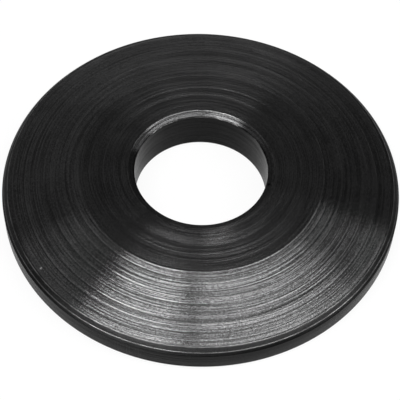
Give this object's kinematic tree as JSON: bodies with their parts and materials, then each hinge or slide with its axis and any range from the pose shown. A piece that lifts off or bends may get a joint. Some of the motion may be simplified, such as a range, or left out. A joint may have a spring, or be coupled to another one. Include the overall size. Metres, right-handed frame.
{
  "type": "propeller washer",
  "caption": "Round turned washer with a flat base, a shallow coned top, a raised flat land and a plain central bore, to bear on a propeller hub under its shaft nut.",
  "frame": {"origin": "centre of the flat base, on the axis of the bore", "axes": "+Z along the bore's axis, from the base towards the land; X and Y are any two directions across the round part"},
  "size_m": [0.024, 0.024, 0.0028],
  "materials": {
    "black_oxide_steel": "turned, with a black oxide finish and thin worn edges"
  },
  "bodies": {
    "root": {"washer": "black_oxide_steel"}
  },
  "joints": []
}
